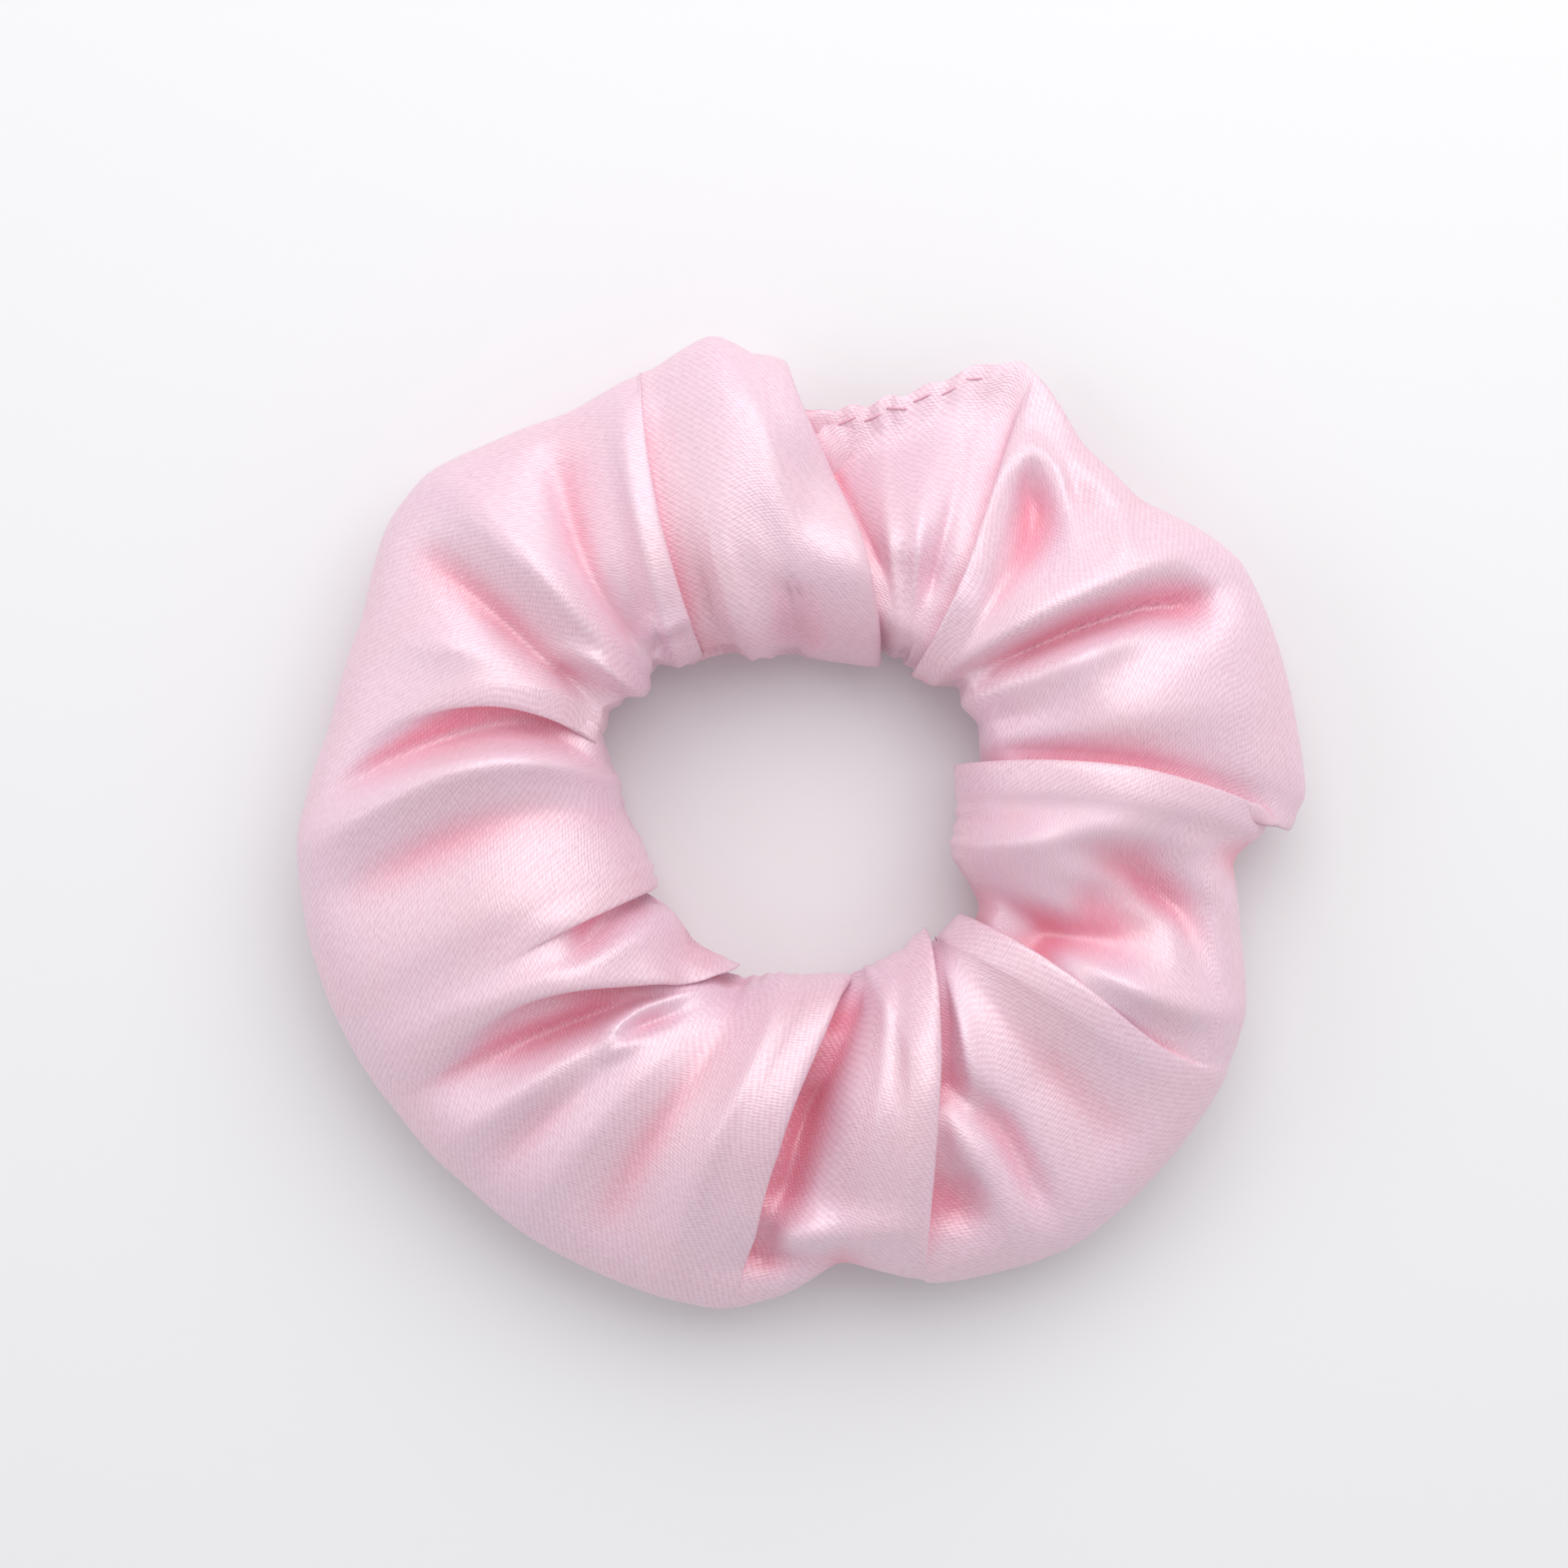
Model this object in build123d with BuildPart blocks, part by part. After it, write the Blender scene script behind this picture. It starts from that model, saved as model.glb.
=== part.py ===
"""Hair scrunchie: a tube of satin gathered over a loop of flat elastic.

The tube is one strip of satin, folded lengthwise, sewn along its long edges, turned right side out and
sewn end to end round the elastic. The relaxed elastic is far shorter than the tube, so the cloth stands
in puffs with pinched pleats between them. The last stretch of the long seam is the gap that the tube was
turned through, and it is closed by a row of edge stitching on a flat lip.

The ring lies flat: its axis is Z, its lowest puffs rest on Z = 0, and Z = mid_height is the plane of the
elastic. Everything is cut at X = 0 into a left and a right half, because the halves are what two fingers
pull apart. Lengths are in millimetres and angles in degrees, counted from +X towards +Y.
"""

from build123d import *
from math import atan2, cos, degrees, hypot, pi, radians, sin
import os

# ---- the elastic ----
elastic_loop_radius = 26.2  # relaxed, to the middle of the band
elastic_width = 5.0
elastic_thickness = 1.0
elastic_lap_arc = 26.0  # angle over which the two ends lie on each other
elastic_lap_angle = 232.0  # where that joint is
elastic_step_arc = 9.0  # angle in which the outer end climbs onto the inner one
ply_clearance = 0.02  # between the two lapped ends

# ---- the satin tube ----
outer_bulge = 28.3  # how far an average puff stands outside the elastic
inner_bulge = 7.2  # how far an average puff stands into the hole inside the elastic
puff_half_height = 12.5
press_flat = 0.9  # how far an average puff is pressed flat by what it rests on
cloth_thickness = 0.3
pleat_outer_dip = 2.4  # how far a pleat falls back from its neighbours, outside, inside and in height
pleat_inner_dip = 2.2
pleat_height_dip = 3.4
puff_stations = 5  # cross-sections that each puff is lofted through

# Each puff: angle of its middle, and what it stands beyond the averages above, outwards, into the hole
# and in height.
puffs = [
    (23.0, 2.3, -0.6, -0.4),
    (46.0, -1.0, -1.8, -1.2),
    (67.0, 1.0, -1.2, -1.6),
    (98.0, -1.0, 0.8, 0.3),
    (128.0, 0.0, -2.4, -0.4),
    (150.0, 0.4, -2.6, -0.4),
    (185.0, 1.0, 1.8, 0.0),
    (216.0, 0.8, 2.0, -0.3),
    (255.0, 0.4, 1.6, 0.0),
    (290.0, -1.0, 1.8, 0.2),
    (315.0, 1.4, -0.4, 0.2),
    (348.0, 1.0, 1.9, 0.3),
]
# The pleat between each puff and the next one.
pleat_angles = [36.0, 55.0, 80.0, 115.0, 140.0, 168.0, 200.0, 233.0, 277.0, 302.0, 331.0, 369.0]

# ---- seams ----
seam_allowance = 6.0
end_seam_angle = 113.0  # where the two ends of the tube meet
thread_diameter = 0.25
stitch_length = 2.4
stitch_gap = 0.6  # between one stitch and the next along a seam
seam_inset = 1.3  # the seams' stitches, in from the outside of the tube
seam_margin = 3.5  # angle kept free of stitches at the cut between the halves and at the end seam
end_seam_arc = 64.0  # angle of the end seam's stitching, up and down from the tube's outer and inner edges
elastic_room = 0.8  # left free round the elastic by the end seam's allowance

# ---- the lip that closes the turning gap ----
lip_first_angle = 63.0
lip_last_angle = 87.0
lip_proud = 1.0  # how far the lip's free edge stands out of the tube at its ends
lip_width = 5.0
lip_plies = 4
lip_stitch_inset = 1.6  # edge stitching, in from the lip's free edge
lip_clear = 6.0  # angle that the long seam's stitches keep from the lip

# ---- the tacking through the lapped elastic ----
tack_legs = 7  # slanted loops of thread through both plies
tack_margin = 0.7  # the legs stay this far in from the band's edges
tack_lean = 12.0  # angle that each leg leans, one way and then the other

# ---- the cut between the halves ----
half_gap = 0.3

cover_reach = elastic_loop_radius + outer_bulge  # ring axis to the outside of an average puff
hole_reach = elastic_loop_radius - inner_bulge  # ring axis to the inside of an average puff
mid_height = puff_half_height - press_flat  # plane of the elastic and of the tube's middle
ply_pair = 2 * cloth_thickness
lip_thickness = lip_plies * cloth_thickness
plane_gap = half_gap / 2
far = 2 * cover_reach  # longer than anything here, for cutting tools


# ---- the tube's shape ----
def shape_keys():
    """(angle, outer reach, inner reach, half height) of every puff and pleat, in turn round the ring."""
    crests = [
        (angle, cover_reach + out, hole_reach - inn, puff_half_height + high)
        for angle, out, inn, high in puffs
    ]
    keys = []
    for i, angle in enumerate(pleat_angles):
        here, following = crests[i], crests[(i + 1) % len(crests)]
        keys.append(here)
        keys.append((
            angle,
            (here[1] + following[1]) / 2 - pleat_outer_dip,
            (here[2] + following[2]) / 2 + pleat_inner_dip,
            (here[3] + following[3]) / 2 - pleat_height_dip,
        ))
    return keys


def tube_at(angle):
    """Outer reach, inner reach and half height of the tube at an angle. The tube swells from each pleat
    to the crest of the puff as a quarter of a sine wave does, which leaves a crease at the pleat."""
    keys = shape_keys()
    turn = (angle - keys[0][0]) % 360.0 + keys[0][0]
    round_again = (keys[0][0] + 360.0, *keys[0][1:])
    for i, (a, b) in enumerate(zip(keys, [*keys[1:], round_again])):
        if a[0] <= turn <= b[0]:
            from_pleat = (b[0] - turn) if i % 2 == 0 else (turn - a[0])
            crest, pleat = (a, b) if i % 2 == 0 else (b, a)
            share = sin(pi / 2 * from_pleat / (b[0] - a[0]))
            return tuple(p + (c - p) * share for p, c in zip(pleat[1:], crest[1:]))
    raise ValueError(f"no puff or pleat round {angle}")


def ring_point(radius, angle):
    return (radius * cos(radians(angle)), radius * sin(radians(angle)))


def section_plane(angle, radius):
    """The upright plane across the ring at an angle, X outwards and Y up, centred at that radius."""
    x, y = ring_point(radius, angle)
    return Plane(
        origin=(x, y, mid_height),
        x_dir=(cos(radians(angle)), sin(radians(angle)), 0),
        z_dir=(sin(radians(angle)), -cos(radians(angle)), 0),
    )


def loft_ring(inset, outer_cut, floor):
    """The whole tube as a solid ring, one loft for each puff, its wall moved in by inset, its outside by
    a further outer_cut, and its underside pressed flat at floor."""
    starts = [pleat_angles[-1] - 360.0, *pleat_angles[:-1]]
    with BuildPart() as ring:
        for first, last in zip(starts, pleat_angles):
            for i in range(puff_stations):
                angle = first + (last - first) * i / (puff_stations - 1)
                outer, inner, half_height = tube_at(angle)
                outer -= outer_cut
                with BuildSketch(section_plane(angle, (outer + inner) / 2)):
                    Ellipse((outer - inner) / 2 - inset, half_height - inset)
            loft()
        with BuildSketch(Plane.XY.offset(floor)):
            Circle(far)
        extrude(amount=far, mode=Mode.INTERSECT)
    return ring.part


def half_cut(side):
    """The plane that ends a half, facing into it: side is 1 for the right half and -1 for the left."""
    return Plane(origin=(side * plane_gap, 0, 0), x_dir=(0, 1, 0), z_dir=(side, 0, 0))


outside = loft_ring(0.0, 0.0, 0.0)
inside = loft_ring(cloth_thickness, 0.0, cloth_thickness)
side_core = loft_ring(0.0, seam_allowance, 0.0)


# ---- seam allowances: the raw edges that stand inside the tube ----
with BuildPart() as side_allowance:
    # The two raw edges of the long seam, lying flat inside the tube's outer edge.
    add(outside)
    with BuildSketch(Plane.XY.offset(mid_height - ply_pair / 2)):
        Circle(far)
        Circle((cover_reach + hole_reach) / 2, mode=Mode.SUBTRACT)
    extrude(amount=ply_pair, mode=Mode.INTERSECT)
    add(side_core, mode=Mode.SUBTRACT)

with BuildPart() as end_allowance:
    # The raw edges of the tube's two ends, turned in all round, with room for the elastic.
    add(outside)
    outer, inner, half_height = tube_at(end_seam_angle)
    end_base = section_plane(end_seam_angle, (outer + inner) / 2).offset(-ply_pair / 2)
    with BuildSketch(end_base):
        Rectangle(outer - inner + 2 * seam_allowance, 2 * half_height + 2 * seam_allowance)
        Ellipse(
            (outer - inner) / 2 - seam_allowance,
            half_height - seam_allowance,
            mode=Mode.SUBTRACT,
        )
    extrude(amount=ply_pair, mode=Mode.INTERSECT)
    with BuildSketch(Plane.XY.offset(mid_height - elastic_width / 2 - elastic_room)):
        Circle(elastic_loop_radius + elastic_thickness / 2 + elastic_room)
        Circle(elastic_loop_radius - elastic_thickness / 2 - elastic_room, mode=Mode.SUBTRACT)
    extrude(amount=elastic_width + 2 * elastic_room, mode=Mode.SUBTRACT)


# ---- the lip ----
lip_start, lip_end = [
    ring_point(tube_at(angle)[0] + lip_proud, angle) for angle in (lip_first_angle, lip_last_angle)
]
lip_run = (lip_end[0] - lip_start[0], lip_end[1] - lip_start[1])
lip_length = hypot(*lip_run)
lip_turn = degrees(atan2(lip_run[1], lip_run[0]))
lip_centre = tuple((a + b) / 2 for a, b in zip(lip_start, lip_end))
lip_plane = Plane(
    origin=(*lip_centre, mid_height),
    x_dir=(cos(radians(lip_turn)), sin(radians(lip_turn)), 0),
    z_dir=(0, 0, 1),
)

with BuildPart() as closing_lip:
    # Flat strip of four plies at the outer edge, its free edge on the line from lip_start to lip_end.
    with BuildSketch(lip_plane.offset(-lip_thickness / 2)):
        with Locations((0, lip_width / 2)):
            Rectangle(lip_length, lip_width)
    extrude(amount=lip_thickness)
    fillet(closing_lip.edges().filter_by(Axis.Z), radius=lip_thickness)


# ---- the satin cover ----
os.makedirs("parts", exist_ok=True)

with BuildPart() as satin_cover_right:
    add(outside)
    add(inside, mode=Mode.SUBTRACT)
    add(side_allowance.part)
    add(closing_lip.part)
    split(bisect_by=half_cut(1), keep=Keep.TOP)
satin_cover_right.part.label = "satin_cover_right"
export_step(satin_cover_right.part, "parts/satin_cover_right.step")

with BuildPart() as satin_cover_left:
    add(outside)
    add(inside, mode=Mode.SUBTRACT)
    add(side_allowance.part)
    add(end_allowance.part)
    split(bisect_by=half_cut(-1), keep=Keep.TOP)
satin_cover_left.part.label = "satin_cover_left"
export_step(satin_cover_left.part, "parts/satin_cover_left.step")


# ---- the elastic ----
elastic_base = Plane.XY.offset(mid_height - elastic_width / 2)
outer_ply_radius = elastic_loop_radius + elastic_thickness + ply_clearance
lap_first = elastic_lap_angle - elastic_lap_arc / 2
lap_last = elastic_lap_angle + elastic_lap_arc / 2

with BuildPart() as elastic_band_right:
    with BuildSketch(elastic_base):
        with BuildLine():
            CenterArc((0, 0), elastic_loop_radius, -90.0, 180.0)
        trace(line_width=elastic_thickness)
    extrude(amount=elastic_width)
    split(bisect_by=half_cut(1), keep=Keep.TOP)
elastic_band_right.part.label = "elastic_band_right"
export_step(elastic_band_right.part, "parts/elastic_band_right.step")

with BuildPart() as elastic_inner_end:
    # Comes round from the top of the loop and ends under the lap.
    with BuildSketch(elastic_base):
        with BuildLine():
            CenterArc((0, 0), elastic_loop_radius, 90.0, lap_last - 90.0)
        trace(line_width=elastic_thickness)
    extrude(amount=elastic_width)

with BuildPart() as elastic_outer_end:
    # Comes round the other way, climbs onto the inner end and lies on it.
    with BuildSketch(elastic_base):
        with BuildLine():
            run = CenterArc((0, 0), elastic_loop_radius, 270.0, lap_last + elastic_step_arc - 270.0)
            lap = CenterArc((0, 0), outer_ply_radius, lap_last, lap_first - lap_last)
            Spline(run @ 1, lap @ 0, tangents=(run % 1, lap % 0))
        trace(line_width=elastic_thickness)
    extrude(amount=elastic_width)

with BuildPart() as elastic_band_left:
    add(elastic_inner_end.part)
    add(elastic_outer_end.part)
    split(bisect_by=half_cut(-1), keep=Keep.TOP)
elastic_band_left.part.label = "elastic_band_left"
export_step(elastic_band_left.part, "parts/elastic_band_left.step")


# ---- threads ----
def stitch_loop(length, plies):
    """One closed loop of thread through the plies, with X along the seam and Y through the cloth."""
    with BuildPart() as loop:
        with BuildSketch(Plane.XY.offset(-thread_diameter / 2)):
            SlotOverall(length, plies + 2 * thread_diameter)
            SlotOverall(length - 2 * thread_diameter, plies, mode=Mode.SUBTRACT)
        extrude(amount=thread_diameter)
    return loop.part


def seam_places(point_at, first, last, through):
    """Places for stitches, evenly spaced along the line that point_at gives between two angles.
    through is the direction through the cloth."""
    fine = 4 * round(last - first)
    line = [Vector(*point_at(first + (last - first) * i / fine)) for i in range(fine + 1)]
    pitch = stitch_length + stitch_gap
    places, walked, due = [], 0.0, pitch / 2
    for a, b in zip(line, line[1:]):
        step = (b - a).length
        while walked + step >= due:
            middle = a + (b - a) * ((due - walked) / step)
            along = (b - a).normalized()
            places.append(Location(Plane(origin=middle, x_dir=along, z_dir=along.cross(through))))
            due += pitch
        walked += step
    return places


def side_seam_point(angle):
    return (*ring_point(tube_at(angle)[0] - seam_inset, angle), mid_height)


def end_seam_point(turn):
    """The end seam's line, one inset inside the tube's wall, at a turn round the cross-section."""
    outer, inner, half_height = tube_at(end_seam_angle)
    reach = (outer + inner) / 2 + ((outer - inner) / 2 - seam_inset) * cos(radians(turn))
    height = mid_height + (half_height - seam_inset) * sin(radians(turn))
    return (*ring_point(reach, end_seam_angle), height)


up = Vector(0, 0, 1)
ply_stitch = stitch_loop(stitch_length, ply_pair)

with BuildPart() as side_seam_thread_right:
    # From the cut at the bottom of the ring round to the lip.
    with Locations(*seam_places(side_seam_point, -90.0 + seam_margin, lip_first_angle - lip_clear, up)):
        add(ply_stitch)
side_seam_thread_right.part.label = "side_seam_thread_right"
export_step(side_seam_thread_right.part, "parts/side_seam_thread_right.step")

with BuildPart() as side_seam_thread_left:
    # From the cut at the top to the end seam, and on from there to the cut at the bottom.
    with Locations(*seam_places(side_seam_point, 90.0 + seam_margin, end_seam_angle - seam_margin, up)):
        add(ply_stitch)
    with Locations(*seam_places(side_seam_point, end_seam_angle + seam_margin, 270.0 - seam_margin, up)):
        add(ply_stitch)
side_seam_thread_left.part.label = "side_seam_thread_left"
export_step(side_seam_thread_left.part, "parts/side_seam_thread_left.step")

with BuildPart() as end_seam_thread:
    # Over the top of the tube and back under it, short of the long seam and of the hole's edge.
    across_ends = section_plane(end_seam_angle, 0).z_dir
    for middle in (90.0, 270.0):
        first, last = middle - end_seam_arc, middle + end_seam_arc
        with Locations(*seam_places(end_seam_point, first, last, across_ends)):
            add(ply_stitch)
end_seam_thread.part.label = "end_seam_thread"
export_step(end_seam_thread.part, "parts/end_seam_thread.step")

with BuildPart() as closing_stitches:
    # The row along the lip, as many stitches as its straight length holds.
    lip_pitch = stitch_length + stitch_gap
    lip_count = int((lip_length - 2 * lip_thickness) / lip_pitch)
    for i in range(lip_count):
        middle = lip_plane.from_local_coords(((i - (lip_count - 1) / 2) * lip_pitch, lip_stitch_inset, 0))
        with Locations(Plane(origin=middle, x_dir=lip_plane.x_dir, z_dir=lip_plane.y_dir)):
            add(stitch_loop(stitch_length, lip_thickness))
closing_stitches.part.label = "closing_stitches"
export_step(closing_stitches.part, "parts/closing_stitches.step")

with BuildPart() as elastic_tack_thread:
    # Leaning legs side by side along the lap, none touching the next.
    tack_leg = stitch_loop(elastic_width - 2 * tack_margin, 2 * elastic_thickness + ply_clearance)
    tack_radius = elastic_loop_radius + (elastic_thickness + ply_clearance) / 2
    for i in range(tack_legs):
        angle = lap_first + elastic_lap_arc * (i + 1) / (tack_legs + 1)
        lean = radians(tack_lean if i % 2 else -tack_lean)
        tangent = Vector(-sin(radians(angle)), cos(radians(angle)), 0)
        outward = Vector(*ring_point(1.0, angle), 0)
        along = up * cos(lean) + tangent * sin(lean)
        middle = (*ring_point(tack_radius, angle), mid_height)
        with Locations(Plane(origin=middle, x_dir=along, z_dir=along.cross(outward))):
            add(tack_leg)
elastic_tack_thread.part.label = "elastic_tack_thread"
export_step(elastic_tack_thread.part, "parts/elastic_tack_thread.step")
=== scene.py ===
"""A light pink satin scrunchie, lying flat on a pale table and seen from straight above."""

from math import pi, radians

import bmesh
import bpy
import numpy as np
from mathutils import Matrix, Vector


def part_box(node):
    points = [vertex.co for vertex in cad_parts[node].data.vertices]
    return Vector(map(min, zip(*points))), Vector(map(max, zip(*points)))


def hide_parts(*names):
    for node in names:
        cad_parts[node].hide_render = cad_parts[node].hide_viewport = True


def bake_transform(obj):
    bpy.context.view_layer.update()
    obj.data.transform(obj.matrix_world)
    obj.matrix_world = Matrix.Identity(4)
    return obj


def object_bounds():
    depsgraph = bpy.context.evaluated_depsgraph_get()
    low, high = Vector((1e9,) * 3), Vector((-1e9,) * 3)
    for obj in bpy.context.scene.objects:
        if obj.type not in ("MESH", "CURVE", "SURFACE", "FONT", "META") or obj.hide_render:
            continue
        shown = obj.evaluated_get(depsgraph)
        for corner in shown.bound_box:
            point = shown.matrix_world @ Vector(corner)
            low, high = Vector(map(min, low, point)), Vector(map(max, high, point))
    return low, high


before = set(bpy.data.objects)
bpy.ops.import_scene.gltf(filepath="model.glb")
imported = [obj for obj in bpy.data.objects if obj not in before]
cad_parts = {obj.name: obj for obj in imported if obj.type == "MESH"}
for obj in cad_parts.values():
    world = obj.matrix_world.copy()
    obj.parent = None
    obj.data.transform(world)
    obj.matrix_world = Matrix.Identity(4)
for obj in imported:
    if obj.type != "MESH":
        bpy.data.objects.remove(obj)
cad_low, cad_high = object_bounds()

# ---- The view ----
# Straight down on the ring, as a person who leans over the table sees it, 45 cm above the ring's middle.
# The lens follows from that distance and from the width that the view takes in.
mm = 0.001
view_distance = 450 * mm
view_width = 173 * mm  # at the height of the ring's middle
view_aim = (-1.6 * mm, 4.05 * mm)
sensor_width = 36.0  # of the camera, in mm
ring_middle = (cad_low.z + cad_high.z) / 2

camera_data = bpy.data.cameras.new("camera")
camera_data.sensor_width = sensor_width
camera_data.lens = sensor_width * view_distance / view_width
camera_data.clip_start, camera_data.clip_end = 0.01, 10.0
camera = bpy.data.objects.new("camera", camera_data)
camera.location = (view_aim[0], view_aim[1], ring_middle + view_distance)
bpy.context.scene.collection.objects.link(camera)
bpy.context.scene.camera = camera


# ---- The table ----
# The white laminate top of a table, on which the ring lies loose. It is far wider than the view, and too
# matt to mirror anything clearly.
class Shade:
    """A shader socket that adds Math nodes when it is used in a sum."""

    def __init__(self, tree, socket):
        self.tree, self.socket = tree, socket

    def node(self, kind, settings=(), **inputs):
        """Adds a node, makes its settings, fills its sockets and gives it back. A socket's name is written
        with _ for a space, and _0 or _1 names it by number."""
        made = self.tree.nodes.new(kind)
        for name, value in dict(settings).items():
            setattr(made, name, value)
        for name, value in inputs.items():
            key = int(name[1:]) if name[1:].isdigit() else name.replace("_", " ")
            if isinstance(value, Shade):
                self.tree.links.new(value.socket, made.inputs[key])
            else:
                made.inputs[key].default_value = value
        return made

    def out(self, kind, settings=(), output=0, **inputs):
        return Shade(self.tree, self.node(kind, settings, **inputs).outputs[output])

    def math(self, operation, *values):
        inputs = {f"_{i}": value for i, value in enumerate(values)}
        return self.out("ShaderNodeMath", {"operation": operation}, **inputs)

    def __add__(self, other):
        return self.math("ADD", self, other)

    def __sub__(self, other):
        return self.math("SUBTRACT", self, other)

    def __mul__(self, other):
        return self.math("MULTIPLY", self, other)

    def __rsub__(self, other):
        return self.math("SUBTRACT", other, self)

    __radd__, __rmul__ = __add__, __mul__

    def clamp(self):
        return self.math("MINIMUM", self.math("MAXIMUM", self, 0.0), 1.0)

    def mix(self, first, second):
        """The colour between two, at this share of the second."""
        return self.out("ShaderNodeMix", {"data_type": "RGBA"}, output=2, _0=self, _6=first, _7=second)


def new_material(name):
    """An empty material, as the Shade that its nodes are made from and its Principled node."""
    material = bpy.data.materials.new(name)
    material.use_nodes = True
    principled = next(n for n in material.node_tree.nodes if n.type == "BSDF_PRINCIPLED")
    return material, Shade(material.node_tree, None), principled


def put(shade, principled, **inputs):
    """Fills the Principled node's sockets."""
    for name, value in inputs.items():
        socket = principled.inputs[name.replace("_", " ")]
        if isinstance(value, Shade):
            shade.tree.links.new(value.socket, socket)
        else:
            socket.default_value = value


def add_piece(name, bm, material):
    """Turns a bmesh into a smooth-shaded object with a material."""
    mesh = bpy.data.meshes.new(name)
    bm.to_mesh(mesh)
    bm.free()
    mesh.shade_smooth()
    mesh.materials.append(material)
    piece = bpy.data.objects.new(name, mesh)
    bpy.context.scene.collection.objects.link(piece)
    return piece


floor_half = 1.5  # m
floor_bm = bmesh.new()
bmesh.ops.create_grid(floor_bm, x_segments=1, y_segments=1, size=floor_half)
floor_material, floor_shade, floor_principled = new_material("white_table")
put(floor_shade, floor_principled, Base_Color=(0.87, 0.865, 0.87, 1.0), Roughness=0.55)
floor = add_piece("table_top", floor_bm, floor_material)


# ---- The light ----
# A big soft window beyond the top of the ring and a little to its right, a wall at the left that throws
# some light back, and a pale room all round. None of them is part of the object.
def soft_light(name, place, size, power, colour):
    data = bpy.data.lights.new(name, "AREA")
    data.shape, data.size, data.energy, data.color = "DISK", size, power, colour
    light = bpy.data.objects.new(name, data)
    light.location = place
    light.rotation_mode = "QUATERNION"
    light.rotation_quaternion = (Vector((0, 0, 0)) - Vector(place)).to_track_quat("-Z", "Y")
    bpy.context.scene.collection.objects.link(light)


soft_light("window", place=(0.12, 0.36, 0.47), size=0.80, power=2.8, colour=(1.0, 0.995, 0.99))
soft_light("wall_left", place=(-0.70, 0.10, 0.42), size=0.60, power=0.9, colour=(0.97, 0.97, 1.0))
world = bpy.data.worlds.new("pale_room")
world.use_nodes = True
room = Shade(world.node_tree, None)
sky_up = room.out("ShaderNodeSeparateXYZ", output=2, Vector=room.out("ShaderNodeTexCoord", output=0))
# the person who leans over the table takes away the light from straight above
overhead_edge, overhead_rise = 0.84, 9.0
overhead = (sky_up - overhead_edge) * overhead_rise
room_colour = overhead.clamp().mix((0.88, 0.885, 0.90, 1.0), (0.40, 0.40, 0.43, 1.0))
world.node_tree.links.new(room_colour.socket, world.node_tree.nodes["Background"].inputs["Color"])
world.node_tree.nodes["Background"].inputs["Strength"].default_value = 0.70
bpy.context.scene.world = world
bpy.context.scene.view_settings.view_transform = "Standard"


# ---- The satin cover ----
# One strip of thin polyester satin, sewn into a tube and gathered on the elastic. The cloth stands in
# panels between laps, where one panel folds over the next, and every lap runs out from the hole.
def round_ring(pairs, soft):
    """A value given at a few angles, softened over some degrees, as a function of the angle."""
    fine = np.arange(0.0, 360.0, 0.5)
    angles, values = zip(*pairs)
    wave = np.fft.rfft(np.interp(fine, angles, values, period=360.0))
    wave *= np.exp(-0.5 * (np.arange(len(wave)) * radians(soft)) ** 2)
    smooth = np.fft.irfft(wave)
    return lambda angle: np.interp(angle, fine, smooth, period=360.0)


# Reach from the ring's axis to the cloth's outer edge, and to the edge of the hole, in mm.
outer_reach = round_ring(
    [(1.5, 56.6), (11.5, 56.3), (23, 56.8), (30, 57.2), (35, 55.4), (43, 52.0), (53, 52.5), (61, 56.2),
     (64.4, 57.2), (68.5, 54.6), (74, 50.2), (81, 47.0), (89, 45.6), (94, 50.6), (100, 54.8), (108, 52.5),
     (119, 51.8), (129, 53.9), (137, 56.3), (144, 56.4), (155, 53.2), (169, 53.0), (180.5, 55.4), (192, 55.9),
     (201, 55.8), (214, 55.3), (227, 54.9), (241, 55.1), (253, 55.0), (261, 55.2), (268, 53.0), (275.5, 48.9),
     (283, 51.8), (287, 53.8), (294, 54.8), (303, 56.3), (318, 55.9), (328, 55.4), (337, 54.0), (345, 50.9),
     (355, 48.0), (358.5, 51.5)],
    soft=1.1,
)
inner_reach = round_ring(
    [(5, 18.0), (14.5, 19.7), (25, 22.1), (37.5, 22.6), (49, 20.7), (66, 20.3), (84, 18.0), (100, 18.0),
     (120, 20.0), (134, 23.1), (152, 23.6), (157, 23.2), (166, 20.3), (188, 17.1), (202, 17.6), (226, 16.9),
     (248, 17.9), (264, 16.9), (292, 17.2), (316, 19.5), (325, 20.5), (333, 22.4), (346, 16.9)],
    soft=2.2,
)
# Height of the cloth's top and of its outer edge above the table, in mm.
top_height = round_ring(
    [(10, 20.0), (25, 20.5), (42, 20.0), (52, 18.5), (66, 17.0), (80, 17.0), (92, 20.5), (103, 23.0),
     (118, 21.0), (135, 21.5), (152, 20.0), (172, 21.5), (195, 22.0), (212, 21.5), (240, 20.5), (262, 21.5),
     (280, 21.5), (300, 20.5), (320, 20.0), (335, 20.5), (352, 22.5)],
    soft=4.0,
)
edge_height = round_ring(
    [(0, 9.0), (30, 9.0), (50, 8.0), (64, 6.5), (75, 5.5), (87, 6.0), (95, 10.0), (105, 11.0), (150, 9.5),
     (180, 9.5), (220, 9.0), (258, 8.0), (275, 9.0), (300, 9.0), (350, 9.5)],
    soft=3.0,
)
# How flat the cloth lies at its outer edge: 0 where it is a round puff, 1 at the stitched lip.
edge_flat = round_ring(
    [(0, 0.6), (5, 0.35), (30, 0.3), (45, 0.35), (55, 0.7), (62, 1.0), (88, 1.0), (93, 0.3), (108, 0.25),
     (180, 0.2), (240, 0.3), (262, 0.45), (275, 0.3), (350, 0.2)],
    soft=2.0,
)

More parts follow.
